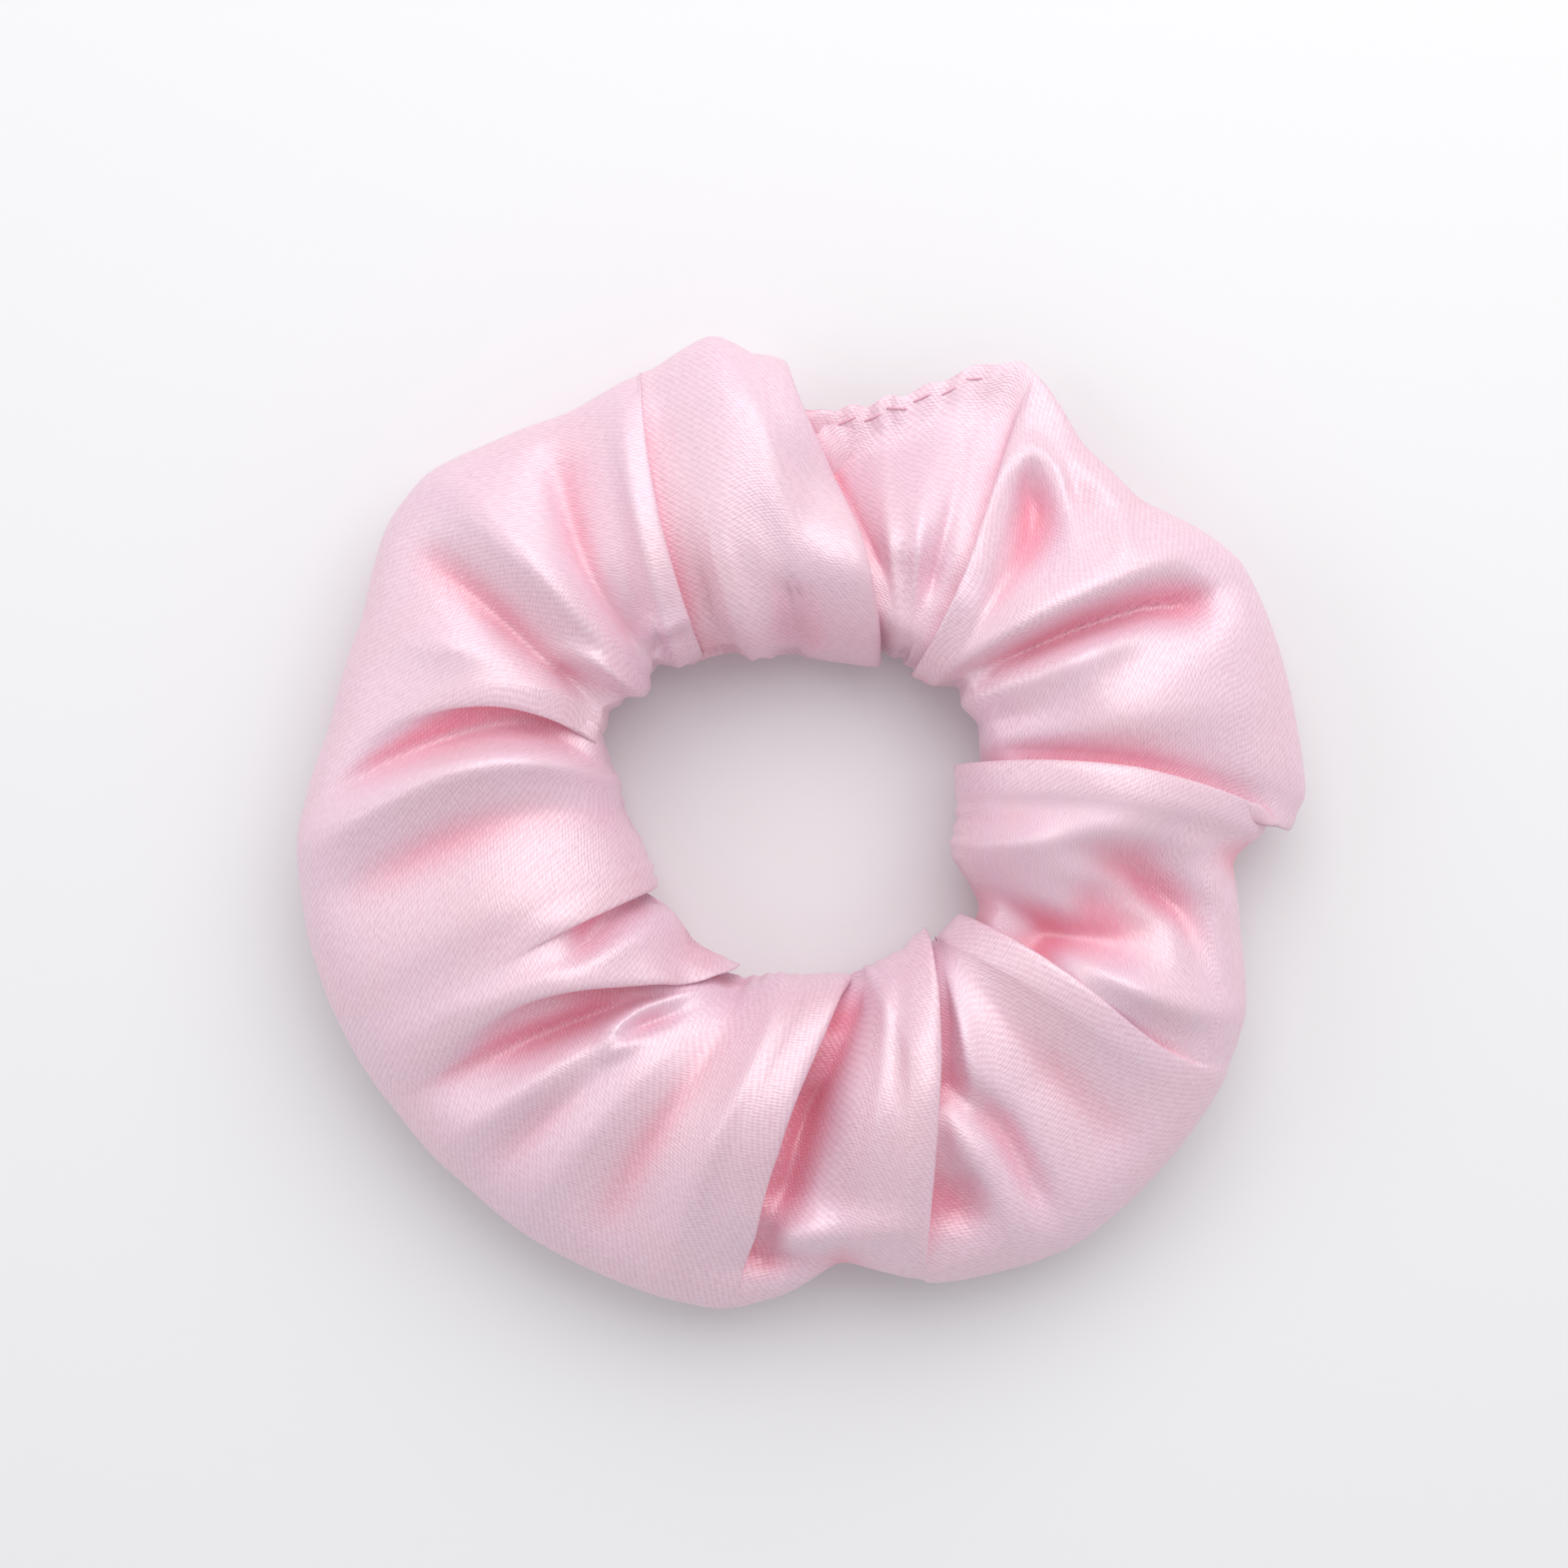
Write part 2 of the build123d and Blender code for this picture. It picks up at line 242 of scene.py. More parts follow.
# The laps, in turn round the ring: the line of each, as (distance from the axis, angle) points; which
# side lies on top, 1 for the side of greater angle; how far the top side hangs over the other, and how
# high it stands above it, each at the hole, half way and at the outer edge; and the lap's half width.
laps = [
    # the narrow pinched fold to the right of the flat panel
    ([(20, 49.0), (26, 51.5), (35, 56.5), (42, 59.5), (50, 61.0), (57, 62.0)], -1,
     (2.0, 1.4, 0.2), (3.0, 2.2, 0.2), 2.0),
    # the big wedge over the flat panel
    ([(20, 66.0), (28, 76.7), (35, 84.0), (40, 88.3), (46, 91.5), (54, 93.0)], 1,
     (2.5, 3.2, 2.5), (4.0, 6.0, 5.5), 2.6),
    # the end seam: the left panel rolls a little over the wedge
    ([(20, 124.0), (31, 117.4), (40, 114.1), (47, 111.2), (54, 109.0)], 1,
     (2.0, 1.2, 0.8), (3.2, 2.0, 1.2), 1.7),
    # the panel at the upper left, over the deep valley beside the hole
    ([(22, 157.5), (27, 156.0), (33, 157.5), (41, 163.0), (48, 170.0), (56, 176.0)], -1,
     (2.2, 1.8, 1.1, 0.2, 0.0), (3.4, 2.8, 1.5, 0.5, 0.2), 2.3),
    # small fold at the left of the hole
    ([(17, 202.5), (22, 203.0), (27, 205.5), (34, 205.5), (55, 203.0)], -1,
     (1.6, 0.7, 0.0, 0.0, 0.0), (2.6, 0.9, 0.0, 0.0, 0.0), 1.4),
    # the left panel over the one below it
    ([(17, 248.0), (19, 236.0), (23, 225.5), (32, 218.0), (44, 212.5), (56, 211.0)], -1,
     (2.4, 1.9, 0.6, 0.0, 0.0), (3.2, 2.8, 1.4, 0.6, 0.2), 2.0),
    # the lower left panel rolls over the deep valley
    ([(17, 287.0), (21, 276.0), (26, 270.5), (36, 265.5), (44, 262.5), (49, 261.5), (56, 263.0)], -1,
     (2.0, 2.4, 2.8, 2.2, 0.0), (3.4, 5.0, 5.5, 3.6, -1.8), 2.3),
    # the bottom puff over the lower right panel
    ([(18, 318.0), (22, 309.5), (30, 298.5), (38, 292.3), (44, 288.0), (54, 285.0)], -1,
     (2.4, 2.4, 1.6, 0.4), (3.6, 4.2, 3.4, 1.4), 2.0),
    # the lower right panel over the valley under the right puff
    ([(19, 326.0), (26, 328.6), (33, 329.3), (43, 328.0), (56, 330.5)], -1,
     (2.4, 1.8, 0.3), (4.2, 3.4, 0.6), 2.4),
    # the right puff over the panel above it
    ([(18, 16.0), (24, 12.8), (30, 10.4), (38, 6.0), (47, 2.6), (57, -1.5)], -1,
     (2.4, 2.6, 1.6), (4.6, 5.0, 3.6), 2.2),
]
plan_radius = 50.0  # distance from the axis at which the laps are put in order and the panels are measured
laps = sorted(laps, key=lambda lap: np.interp(plan_radius, *zip(*lap[0])) % 360.0)

# Ridges and valleys within the panels: the line of each; its height at the hole, half way and at the outer
# edge, less than 0 for a valley; and its width on the side of smaller and of greater angle, at the hole
# and at the outer edge.
ripples = [
    # upper right: bright ridge, deep pocket below it, and the next panel's edge
    ([(21, 44.5), (32, 40.8), (47, 36.2), (56, 35.0)], (1.6, 1.9, 1.0), (1.8, 4.0), (2.6, 7.0)),
    ([(21, 41.0), (30, 36.8), (36, 35.0), (46, 31.3), (52, 28.5)],
     (-3.4, -3.2, -1.2), (1.6, 3.0), (1.6, 4.0)),
    ([(22, 37.0), (30, 33.5), (41, 28.5), (47, 26.0), (53, 23.0)], (1.6, 1.6, 0.2), (3.0, 6.0), (1.4, 3.5)),
    # the pinched fold's own ridge, and the saucer between it and the bright ridge
    ([(22, 49.5), (32, 53.0), (42, 57.5), (52, 59.5)], (0.8, 1.2, 0.6), (1.6, 2.6), (1.2, 1.8)),
    ([(26, 47.5), (35, 49.0), (45, 49.5), (52, 50.0)], (-0.6, -1.9, -0.2), (2.2, 4.0), (2.2, 4.0)),
    # flat panel: soft gathers that run up from the hole
    ([(20, 55.0), (32, 66.0), (44, 70.0)], (1.2, 0.8, 0.0), (1.2, 3.0), (1.2, 3.0)),
    ([(20, 59.5), (32, 72.0), (44, 77.0)], (0.9, 0.7, 0.0), (1.0, 3.0), (1.0, 3.0)),
    ([(20, 57.0), (34, 62.5), (46, 66.0)], (-1.2, -1.0, -0.2), (1.0, 2.4), (1.0, 2.4)),
    # wedge: crown and gathers at its base
    ([(20, 75.0), (28, 83.5), (36, 90.5), (50, 97.5)], (0.6, 1.0, 0.8), (1.4, 2.2), (3.0, 7.0)),
    ([(18, 106.0), (26, 107.0), (38, 106.0)], (1.6, 0.6, 0.0), (1.5, 3.0), (1.5, 3.0)),
    ([(18, 111.5), (26, 111.0), (40, 108.0)], (-1.8, -0.8, -0.3), (1.4, 3.0), (1.4, 3.0)),
    ([(18, 92.0), (26, 95.0), (36, 97.0)], (-1.2, -0.5, 0.0), (1.4, 3.0), (1.4, 3.0)),
    # upper left: the narrow ridge along the end seam; then crease, ridge, valley and bulge, in turn
    ([(21, 129.5), (31, 121.0), (40, 117.2), (47, 114.0), (53, 111.5)],
     (0.8, 0.9, 0.5), (1.0, 1.3), (1.0, 1.6)),
    ([(21, 134.0), (31, 125.5), (40, 120.8), (47, 117.6)], (-0.5, -0.3, 0.0), (1.0, 1.6), (1.4, 2.2)),
    ([(24, 131.5), (30, 131.8), (40, 128.0), (48, 124.5), (54, 122.0)],
     (-1.5, -1.9, -0.7), (2.4, 7.0), (1.4, 2.6)),
    ([(26, 138.5), (32, 137.5), (47, 136.0), (56, 136.5)], (1.0, 1.6, 1.0), (2.4, 6.0), (2.0, 4.0)),
    ([(24, 150.0), (30, 148.0), (42, 145.0), (51, 144.0)], (-1.8, -2.4, -1.0), (2.2, 4.0), (2.2, 4.0)),
    ([(22, 140.0), (27, 142.0), (32, 143.5)], (1.6, 0.6, 0.0), (1.5, 2.0), (1.5, 2.0)),
    ([(34, 151.0), (44, 154.0), (52, 156.0)], (0.0, 1.0, 0.8), (3.0, 4.0), (3.0, 4.0)),
    # left: valley under the lap, then the long ridge and the dusky hollow below it
    ([(23, 161.0), (31, 161.0), (39, 166.5), (47, 173.0), (54, 178.5)],
     (-1.4, -2.4, -0.8), (1.8, 3.0), (1.8, 4.0)),
    ([(22, 166.0), (31, 167.5), (45, 177.0), (55, 183.0)], (1.8, 2.6, 1.8), (1.8, 3.4), (2.2, 5.0)),
    ([(20, 178.0), (30, 178.0), (45, 186.0), (53, 189.0)], (-0.3, -0.6, -0.5), (2.0, 4.0), (2.4, 6.0)),
    ([(22, 196.0), (32, 197.0), (48, 200.0)], (0.4, 0.5, 0.3), (4.0, 8.0), (3.0, 5.0)),
    ([(18, 206.5), (23, 207.5), (28, 210.0)], (-1.6, -0.8, 0.0), (0.8, 1.6), (1.2, 2.2)),
    ([(18, 216.0), (24, 215.0), (32, 212.5), (44, 209.0)], (1.2, 1.0, 0.4), (2.0, 4.0), (1.6, 4.0)),
    # lower left: valley, small curl by the hole, and soft folds that fan out
    ([(24, 229.0), (32, 222.0), (42, 217.5), (50, 216.0)], (-1.4, -2.2, -1.0), (1.4, 3.0), (2.6, 5.0)),
    ([(30, 228.0), (42, 224.5), (53, 223.0)], (0.2, 1.3, 0.8), (1.8, 3.5), (1.8, 3.5)),
    ([(30, 233.0), (42, 229.5), (53, 228.5)], (-0.1, -0.9, -0.7), (1.4, 3.0), (1.4, 3.0)),
    ([(28, 240.0), (42, 236.5), (53, 235.0)], (0.3, 0.9, 0.6), (2.0, 4.0), (2.0, 4.0)),
    ([(24, 250.0), (40, 244.5), (53, 244.0)], (-0.5, -0.8, -0.5), (2.0, 4.0), (2.0, 4.0)),
    ([(22, 262.0), (34, 256.0), (48, 254.0)], (1.0, 1.5, 1.3), (2.4, 5.0), (2.0, 3.6)),
    # bottom puff: hollow beside the roll, rise to the right and a thick rolled rim
    ([(20, 284.0), (26, 276.5), (36, 270.0), (46, 265.5)], (-1.6, -2.6, -1.6), (1.8, 2.4), (2.6, 3.4)),
    ([(19, 300.0), (30, 288.0), (44, 279.5)], (0.9, 1.0, 0.6), (2.0, 3.0), (2.6, 4.0)),
    ([(24, 302.0), (30, 295.0), (36, 290.0), (46, 284.0)], (0.2, 0.7, 0.9), (1.4, 2.4), (1.0, 1.8)),
    ([(22, 299.0), (26, 294.0), (34, 287.5)], (-0.5, -0.7, 0.0), (1.2, 2.4), (1.2, 2.4)),
    # lower right panel: bright ridge from the hole, diagonal hollow, and a round dimple
    ([(20, 316.5), (24, 312.5), (32, 305.0), (38, 300.5)], (0.9, 1.5, 0.3), (1.6, 2.6), (2.6, 5.0)),
    ([(34, 296.0), (44, 297.5), (54, 297.0)], (0.6, 1.3, 0.9), (1.6, 3.4), (1.6, 3.0)),
    ([(26, 318.0), (40, 315.5), (52, 316.0)], (-0.7, -1.5, -0.9), (4.0, 8.0), (4.0, 7.0)),
    # right: hollow, lower lobe, and the puff's long curved shoulder
    ([(30, 333.0), (42, 333.0), (52, 336.0)], (0.6, 1.5, 0.8), (1.8, 3.4), (1.8, 3.0)),
    ([(26, 345.0), (34, 347.0), (44, 348.5), (50, 346.0)], (-0.2, -1.2, -0.9), (3.0, 4.0), (3.0, 4.0)),
    ([(20, 352.0), (30, 357.0), (42, 356.5), (49, 352.0)], (1.2, 1.6, 1.2), (3.0, 4.0), (3.0, 4.0)),
    # panel above the right puff
    ([(21, 24.0), (30, 18.5), (44, 15.5), (54, 14.0)], (1.0, 0.8, 0.5), (3.0, 7.0), (3.0, 7.0)),
    ([(20, 29.0), (24, 27.0), (30, 25.0)], (-1.0, -0.3, 0.0), (1.4, 2.4), (1.4, 2.4)),
]

# Folds on top that turn or close on themselves: the line of each, its height and its half width.
strokes = [
    # upper right: the pinched fold hooks over and runs round the saucer in two ripples
    ([(45.0, 58.5), (48.5, 57.5), (48.0, 54.0), (45.5, 50.0), (43.5, 47.0)], 2.0, 1.3),
    ([(50.8, 57.0), (50.0, 51.0), (49.8, 45.0), (46.5, 40.0)], 1.4, 1.3),
    ([(45.5, 57.5), (43.5, 53.0), (39.0, 50.5)], -2.2, 2.4),
    ([(33, 52.0), (40, 55.5)], -0.8, 2.2),
    # right: valley under the puff, the puff's curved shoulder, the dish inside it, and the lobe below
    ([(20.5, 333.5), (25.0, 335.0), (31.0, 336.5), (37.0, 338.0)], -3.0, 1.9),
    ([(30.0, 354.5), (38.0, 352.0), (44.5, 346.5), (49.5, 339.0)], -2.8, 2.3),
    ([(33.0, 343.5), (40.0, 342.0)], -1.5, 3.0),
    ([(30.0, 333.8), (38.0, 333.5), (47.0, 334.5)], 1.5, 2.2),
    # lower right: diagonal hollow and round dimple
    ([(30.5, 297.5), (35.5, 301.5), (40.5, 303.6), (48.5, 302.8), (53.0, 302.8)], -2.0, 1.7),
    ([(45.0, 293.8), (46.5, 293.4)], -2.3, 3.0),
    # bottom: red pocket at the top of the valley beside the roll, and the rim of the puff below it
    ([(25.0, 275.0), (29.0, 271.5), (35.0, 268.5)], -1.8, 1.8),
    ([(43.5, 263.5), (45.0, 269.0), (45.5, 276.0), (45.5, 283.0)], 2.8, 2.1),
    ([(49.5, 262.0), (49.3, 268.0), (49.0, 274.0)], -2.6, 1.4),
    # lower left: a small curl by the hole, and the pocket beside it
    ([(19.0, 243.0), (22.5, 235.0), (26.0, 230.0), (30.0, 228.0), (32.0, 230.5), (29.5, 233.5)], 1.5, 1.0),
    ([(24.0, 237.5), (27.0, 232.5), (29.0, 231.0)], -1.5, 1.0),
    ([(26.0, 224.0), (32.0, 221.5), (40.0, 218.5)], -1.6, 2.2),
    # left: pink pocket beside the short fold
    ([(22.0, 207.5), (26.5, 210.0), (29.0, 212.0)], -1.3, 1.3),
    ([(23.0, 204.5), (27.0, 202.5), (31.0, 202.0)], 0.6, 1.4),
    # upper left: a small bright lobe by the hole, with a dimple, and the curl at the end of the seam
    ([(23.5, 143.5), (28.0, 142.0), (31.0, 143.5)], 1.7, 1.3),
    ([(27.0, 147.0), (29.0, 146.5)], -0.9, 1.4),
    ([(22.0, 133.5), (25.0, 131.0), (26.5, 127.0), (25.0, 123.5)], 1.4, 0.9),
    ([(23.0, 129.0), (24.3, 126.0)], -1.6, 1.0),
    # gathers at the foot of the wedge
    ([(20.0, 112.0), (24.0, 109.0), (30.0, 107.0)], 1.1, 1.0),
    ([(20.0, 97.0), (26.0, 96.0), (31.0, 98.0)], 0.9, 1.2),
    ([(20.0, 90.0), (25.0, 91.5)], -1.0, 1.1),
    # broad pocket at the right, under the deep valley
    ([(40.0, 27.0), (48.0, 28.0)], -1.8, 3.4),
    ([(30.0, 35.5), (38.0, 34.0), (45.0, 32.0), (50.0, 29.0)], -2.0, 1.6),
    # dusky hollow at the left
    ([(28.0, 180.0), (38.0, 184.0), (48.0, 188.5)], -0.6, 4.0),
]

elastic_low, elastic_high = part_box("elastic_band_right")
elastic_top = elastic_high.z / mm
elastic_middle = elastic_high.x / mm - 0.5  # half way through its thickness of 1 mm

around_count = 512  # faces round the ring
across_count = 96  # faces round the tube
lap_cloth = 12.0  # cloth that each lap takes up, in mm
hole_radius, edge_radius = 19.0, 54.0  # where the laps' lines count as at the hole and at the outer edge

# The tube's section. A share is counted from 0 at the hole to 1 at the outer edge.
section_power = 0.9  # less than 1 makes the section squarer than an ellipse
thinning_start, thinning_span, thinning_most = 0.30, 0.60, 0.93  # where flat cloth thins, and by how much
underside_share = 0.45  # of a fold's size, on the underside
# A lap's step, the share of it that lies below the plain tube, and the mm over which it dies away each side.
lap_steepness, lap_sink = 1.3, 0.55
lap_top_fade, lap_low_fade = 9.0, 5.0
# How boldly the ripples and strokes stand, and the shape of their crests.
ripple_boldness, crest_bluntness, crest_spread = 1.6, 0.35, 0.62
stroke_boldness, stroke_ends, stroke_middle = 1.3, 0.35, 0.65
top_sharpness = 4.0  # how quickly the strokes reach their full height above the tube's middle
# How far the folds move the cloth inwards at the hole, outwards at the edge and down underneath, and how
# much calmer they are near the outer edge.
swell_inwards, swell_outwards, swell_under = 0.55, 0.3, 0.5
calm_start, calm_span, calm_most = 0.8, 0.2, 0.75
# The gathers at the hole: how many, how unevenly they stand, how far they reach, and their size in mm.
gather_count, gather_wander = 64, 2.4
gather_reach, gather_reach_under = 0.14, 0.42
gather_depth, gather_height, gather_height_under = 0.16, 0.22, 0.65
# The lip's place, and the length and size, in mm, of the puckers and scallops that its stitching makes.
lip_angle, lip_half_angle = 75.0, 12.0
lip_start, lip_fade = 0.86, 0.08
pucker_length, pucker_height = 3.1, 0.22
scallop_length, scallop_depth = 4.4, 0.35
# How the cloth lies over the elastic and on the table, in mm.
band_reach, band_clearance, band_softness = 3.5, 0.6, 0.8
table_softness = 0.5


def lap_line(points, radius):
    """The angle of a line at each distance from the axis, bent smoothly through its points."""
    radii, angles = (np.array(values, float) for values in zip(*points))
    angles = np.unwrap(np.radians(angles))
    bend = np.polynomial.Polynomial.fit(radii, angles, min(3, len(radii) - 1))
    return np.degrees(bend(np.clip(radius, radii[0], radii[-1])))


def by_share(values, share):
    """A value given at even steps from the hole to the outer edge."""
    return np.interp(share, np.linspace(0.0, 1.0, len(values)), values)


def nearest_turn(angle):
    return (angle + 180.0) % 360.0 - 180.0


def panel_plan(radius):
    """The knots of the map from cloth to angle at each distance from the axis: the angle at each side of
    each lap, and the cloth, in mm, from the first lap's low side to there."""
    centres = np.array([lap_line(points, radius) for points, *_ in laps])
    centres = np.array([centres[0], *(centres[0] + (c - centres[0]) % 360.0 for c in centres[1:])])
    halves = np.array([np.degrees(half_width / radius) for *_, half_width in laps])
    knots = np.stack([centres - halves, centres + halves], axis=1).reshape(-1, *np.shape(radius))
    return np.concatenate([knots, knots[:1] + 360.0])


plan_at_edge = panel_plan(plan_radius)
narrowest_panel = 4.0
cloth_steps = []
lip_panel = 1  # the flat panel, which has the lip
lip_fineness = 2.0  # more faces there, for its puckers
for i in range(len(laps)):
    cloth_steps.append(lap_cloth)
    gap = plan_at_edge[2 * i + 2] - plan_at_edge[2 * i + 1]
    panel_cloth = max(radians(gap) * plan_radius, narrowest_panel)
    cloth_steps.append(panel_cloth * (lip_fineness if i == lip_panel else 1.0))
cloth_knots = np.concatenate([[0.0], np.cumsum(cloth_steps)])
cloth_length = cloth_knots[-1]


def cloth_to_angle(cloth, radius):
    """The angle of each point of cloth at a distance from the axis, before the laps fold it over."""
    knots = panel_plan(radius)
    index = np.clip(np.searchsorted(cloth_knots, cloth, side="right") - 1, 0, len(cloth_knots) - 2)
    share = (cloth - cloth_knots[index]) / (cloth_knots[index + 1] - cloth_knots[index])
    rows = np.arange(len(cloth))
    start, stop = knots[index, rows], knots[index + 1, rows]
    return start + (stop - start) * share


def shape_cloth(cloth, turn):
    """Where each point of the cover lies, in mm. cloth is its place along the strip, and turn its angle
    round the tube, 0 at the outer edge and 90 on top."""
    level, out = np.sin(np.radians(turn)), np.cos(np.radians(turn))
    share = (1.0 + out) / 2.0
    radius = hole_radius + (edge_radius - hole_radius) * share
    for _ in range(3):
        angle = cloth_to_angle(cloth, radius)
        near, far = inner_reach(angle), outer_reach(angle)
        radius = near + (far - near) * share
    top, edge, flat = top_height(angle), edge_height(angle), edge_flat(angle)
    # the section: a rounded top, an edge at its own height, and an underside pressed flat
    rise = np.where(level > 0, top - edge, edge) * np.abs(level) ** section_power
    thinning = np.clip((share - thinning_start) / thinning_span, 0.0, 1.0)
    taper = 1.0 - thinning_most * flat * thinning**2 * (3.0 - 2.0 * thinning)
    height = edge + np.sign(level) * rise * taper
    under = np.where(level < 0, underside_share, 1.0)
    swell, slide = np.zeros_like(radius), np.zeros_like(radius)
    for points, side, hang, stand, half_width in laps:
        line = lap_line(points, radius)
        away = side * np.radians(nearest_turn(angle - line)) * radius
        through = np.clip(away / half_width, -1.0, 1.0)
        step = 0.5 + 0.5 * np.sin(np.clip(through * lap_steepness, -1.0, 1.0) * pi / 2)
        fade_top = np.exp(-np.maximum(away - half_width, 0.0) / lap_top_fade)
        fade_low = np.exp(-np.maximum(-away - half_width, 0.0) / lap_low_fade)
        high = by_share(stand, share) * under
        swell += high * (step * fade_top - lap_sink) * np.where(away > 0, fade_top, fade_low)
        slide -= side * by_share(hang, share) * under * np.sin(pi * through)
    for points, high, low_side, high_side in ripples:
        line = lap_line(points, radius)
        away = np.radians(nearest_turn(angle - line)) * radius
        width = np.where(
            away < 0,
            low_side[0] + (low_side[1] - low_side[0]) * share,
            high_side[0] + (high_side[1] - high_side[0]) * share,
        )
        first, last = points[0][0], points[-1][0]
        along = np.clip((radius - first) / (last - first), 0.0, 1.0)
        # a fold in cloth has a sharp crest and hollow flanks
        blunt = crest_bluntness * width
        crest = np.exp((blunt - np.sqrt(away**2 + blunt**2)) / (crest_spread * width))
        swell += ripple_boldness * np.interp(along, (0.0, 0.5, 1.0), high) * crest * under
    on_top = np.clip(level * top_sharpness, 0.0, 1.0)
    place = radius * np.exp(1j * np.radians(angle))
    for points, high, half_width in strokes:
        line = np.array([r * np.exp(1j * np.radians(a)) for r, a in points])
        nearest, along = np.full(radius.shape, 1e9), np.zeros_like(radius)
        for k, (start, stop) in enumerate(zip(line[:-1], line[1:])):
            ratio = ((place - start) * np.conj(stop - start)).real / abs(stop - start) ** 2
            ratio = np.clip(ratio, 0.0, 1.0)
            gap = abs(place - start - (stop - start) * ratio)
            along = np.where(gap < nearest, (k + ratio) / (len(line) - 1), along)
            nearest = np.minimum(gap, nearest)
        fade = stroke_ends + stroke_middle * np.sin(pi * along) if len(line) > 2 else 1.0
        swell += stroke_boldness * high * fade * np.exp(-((nearest / half_width) ** 2)) * on_top
    # a fold stands out of the surface, so it moves outwards at the edge and into the hole at the hole
    edge_calm = 1.0 - calm_most * np.clip((share - calm_start) / calm_span, 0.0, 1.0)
    radius = radius + swell * out * edge_calm * np.where(out < 0, swell_inwards, swell_outwards)
    height = height + swell * np.where(level > 0, 1.0, swell_under) * level * edge_calm
    angle = np.radians(angle) + slide / radius
    # small gathers at the hole, where the elastic draws the cloth in
    turned = np.sin(5 * angle + 1.0) + 0.6 * np.sin(9 * angle + 4.0)
    gathers = np.sin(gather_count * angle + gather_wander * turned) * (0.6 + 0.4 * np.sin(7 * angle + 2.0))
    underneath = np.clip(-level * 2.0 - 0.2, 0.0, 1.0)  # where they are deepest
    gathers = gathers * np.exp(-((share / (gather_reach + gather_reach_under * underneath)) ** 2))
    radius += gather_depth * gathers * (1.0 - underneath)
    height += (gather_height + gather_height_under * underneath) * gathers * np.abs(level)
    # the flat lip is puckered by its stitching
    lip = np.exp(-(((np.degrees(angle) % 360.0 - lip_angle) / lip_half_angle) ** 6))
    lip = lip * np.clip((share - lip_start) / lip_fade, 0.0, 1.0)
    along_lip = cloth / lip_fineness
    pucker = np.sin(along_lip * 2 * pi / pucker_length + 0.8 * np.sin(along_lip * 0.9))
    pucker = pucker * (0.7 + 0.3 * np.sin(along_lip * 0.53))
    height += lip * pucker_height * pucker
    radius += lip * scallop_depth * np.sin(along_lip * 2 * pi / scallop_length + 0.5)
    # the cloth lies on the elastic and on the table
    over = np.exp(-(((radius - elastic_middle) / band_reach) ** 4)) * (level > 0)
    lowest = elastic_top + band_clearance
    lifted = lowest + band_softness * np.logaddexp(0.0, (height - lowest) / band_softness)
    height = height + over * (lifted - height)
    height = 0.5 * (height + np.sqrt(height**2 + table_softness**2))
    return np.stack([radius * np.cos(angle), radius * np.sin(angle), height], axis=1)


# Satin: floats of shiny yarn in staggered rows, which show as fine slanting marks where the light rakes.
satin, satin_shade, satin_principled = new_material("pink_satin")
weave_place = satin_shade.out("ShaderNodeUVMap", {"uv_map": "weave"})
along_yarn = satin_shade.out("ShaderNodeSeparateXYZ", output=0, Vector=weave_place)
across_yarn = satin_shade.out("ShaderNodeSeparateXYZ", output=1, Vector=weave_place)
float_length, yarn_pitch, stagger = 0.65, 0.37, 0.26  # mm
row_wave = satin_shade.math("SINE", across_yarn * (2 * pi / yarn_pitch))
along_float = along_yarn + across_yarn * (stagger / yarn_pitch)
float_wave = satin_shade.math("SINE", along_float * (2 * pi / float_length))
slub = satin_shade.out(
    "ShaderNodeTexNoise", {"noise_dimensions": "2D"},
    Vector=weave_place, Scale=0.9, Detail=3.0, Roughness=0.6,
)
dash_lean, dashes_along, dashes_across = 0.9, 1.25, 3.4  # their slant, and how many there are per mm each way
dash_place = satin_shade.out(
    "ShaderNodeCombineXYZ",
    X=(along_yarn + across_yarn * dash_lean) * dashes_along, Y=across_yarn * dashes_across,
)
dashes = satin_shade.out(
    "ShaderNodeTexNoise", {"noise_dimensions": "2D"}, Vector=dash_place, Scale=1.0, Detail=1.0,
)
marks = (row_wave * 0.35 + float_wave * 0.35 + dashes * 2.0 - 1.0) * (slub * 0.8 + 0.6)
hollow = satin_shade.out("ShaderNodeAttribute", {"attribute_name": "hollow"}, output=2)
tint = satin_shade.out(
    "ShaderNodeTexNoise", {"noise_dimensions": "2D"},
    Vector=weave_place, Scale=0.055, Detail=2.0, Roughness=0.5,
)
plain_pink = (tint * 1.6 - 0.3).clamp().mix((0.875, 0.580, 0.665, 1.0), (0.860, 0.590, 0.730, 1.0))
# painted shade: the pink darkens and reddens with the depth of each fold's hollow
pink_with_painted_fold_shade = satin_shade.math("POWER", hollow.clamp(), 1.6).mix(plain_pink, (0.860, 0.220, 0.330, 1.0))
# painted weave shade: the marks darken the pink between the floats; the same marks also make the real bump
# and roughness
pink_with_painted_weave_shade = (marks * -0.26 + 0.07).clamp().mix(pink_with_painted_fold_shade, (0.500, 0.230, 0.290, 1.0))
# painted sheen: the marks lighten the floats to a whitish pink, as the light catching them would
satin_colour_with_painted_light = (marks * 0.34 - 0.02).clamp().mix(pink_with_painted_weave_shade, (0.960, 0.800, 0.860, 1.0))
satin_bump = satin_shade.out("ShaderNodeBump", Height=marks, Strength=0.20, Distance=0.0001)
put(
    satin_shade, satin_principled,
    Base_Color=satin_colour_with_painted_light, Metallic=0.05, Roughness=marks * -0.06 + 0.44, Anisotropic=0.2,
    Sheen_Weight=0.10, Sheen_Roughness=0.4, IOR=1.85, Specular_IOR_Level=0.85, Normal=satin_bump,
)

